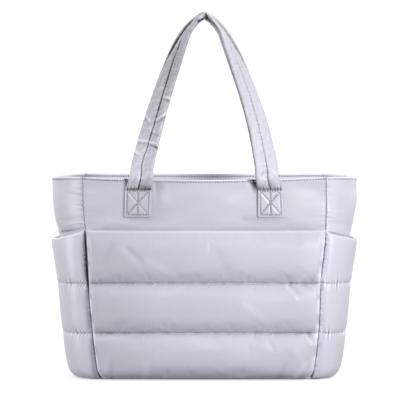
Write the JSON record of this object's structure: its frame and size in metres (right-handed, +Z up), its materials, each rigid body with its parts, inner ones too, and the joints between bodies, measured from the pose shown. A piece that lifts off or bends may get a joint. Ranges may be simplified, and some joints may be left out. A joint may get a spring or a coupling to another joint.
{
  "type": "nylon tote bag",
  "caption": "Padded nylon tote bag with a quilted front pocket, open side pockets and soft twin shoulder handles.",
  "frame": {"origin": "under the middle of the bag, on the surface that it stands on", "axes": "+Z up, +X along the bag's length, -Y is the front with the large pocket"},
  "size_m": [0.432, 0.1702, 0.5164],
  "materials": {
    "shell_nylon": "pale lavender-grey nylon with a satin sheen",
    "quilted_nylon": "padded nylon, sewn into wide channels, satin sheen",
    "handle_nylon": "softly padded nylon band with one sewn line",
    "facing_nylon": "plain nylon turned in behind the rim"
  },
  "bodies": {
    "root": {"base_panel": "shell_nylon", "front_panel": "shell_nylon", "back_panel": "shell_nylon", "back_quilted_panel": "quilted_nylon", "left_gusset": "shell_nylon", "right_gusset": "shell_nylon", "rim_facing": "facing_nylon", "front_pocket": "quilted_nylon", "left_side_pocket": "quilted_nylon", "right_side_pocket": "quilted_nylon", "front_handle": "handle_nylon", "back_handle": "handle_nylon"}
  },
  "joints": []
}
